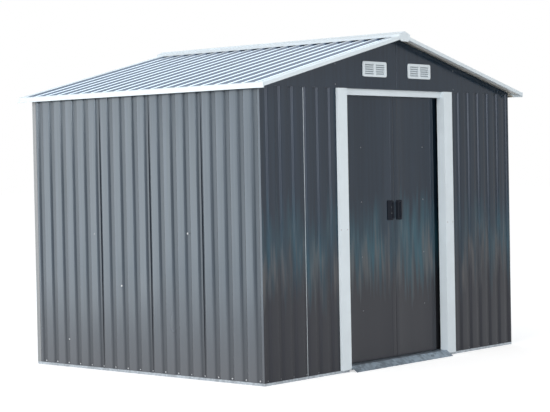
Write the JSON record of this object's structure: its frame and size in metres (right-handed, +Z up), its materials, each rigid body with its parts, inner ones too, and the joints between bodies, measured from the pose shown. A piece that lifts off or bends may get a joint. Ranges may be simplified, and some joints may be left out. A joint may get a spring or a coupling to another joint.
{
  "type": "metal storage shed",
  "caption": "Gabled garden shed of ribbed sheet metal with a pair of sliding doors, white trims, louvred gable vents and a ramped sill.",
  "frame": {"origin": "centre of the footprint, on the ground", "axes": "+X to the right seen from the front, +Y to the rear, +Z up"},
  "size_m": [2.5668, 2.0588, 1.997],
  "materials": {
    "wall_sheet": "gloss",
    "roof_sheet": "gloss",
    "door_sheet": "gloss",
    "white_trim": "satin",
    "galvanised": "satin",
    "pale_angle": "satin",
    "eave_rail": "satin",
    "handle": "matt",
    "hanger": "satin"
  },
  "bodies": {
    "shed": {"base_rails_front": "galvanised", "base_rail_left": "galvanised", "base_rail_right": "galvanised", "base_rail_rear": "galvanised", "door_sill": "galvanised", "wall_front_left": "wall_sheet", "wall_front_right": "wall_sheet", "wall_left": "wall_sheet", "wall_right": "wall_sheet", "wall_rear": "wall_sheet", "corner_angles_rear": "pale_angle", "mid_rails_front": "galvanised", "mid_rails_side": "galvanised", "mid_rail_rear": "galvanised", "eave_rail_left": "eave_rail", "eave_rail_right": "eave_rail", "head_rail_rear": "galvanised", "door_track": "galvanised", "door_header": "white_trim", "door_jamb_left": "white_trim", "door_jamb_right": "white_trim", "gable_front_left": "wall_sheet", "gable_front_right": "wall_sheet", "gable_rear_left": "wall_sheet", "gable_rear_right": "wall_sheet", "vent_front_left": "white_trim", "vent_front_right": "white_trim", "vents_rear": "white_trim", "roof_left": "roof_sheet", "roof_right": "roof_sheet", "ridge_cap": "white_trim", "apex_cap_front": "white_trim", "apex_cap_rear": "white_trim", "eave_trim_left": "white_trim", "eave_trim_right": "white_trim", "gable_trim_front_left": "white_trim", "gable_trim_front_right": "white_trim", "gable_trims_rear": "white_trim", "corner_caps": "white_trim"},
    "door_left": {"door_left": "door_sheet", "handle_left": "handle", "hangers_left": "hanger"},
    "door_right": {"door_right": "door_sheet", "handle_right": "handle", "hangers_right": "hanger"}
  },
  "joints": [
    {"name": "left_door_slide", "type": "slide", "parent": "shed", "child": "door_left", "axis": [-1, 0, 0], "range_m": [0, 0.44]},
    {"name": "right_door_slide", "type": "slide", "parent": "shed", "child": "door_right", "axis": [1, 0, 0], "range_m": [0, 0.368]}
  ]
}
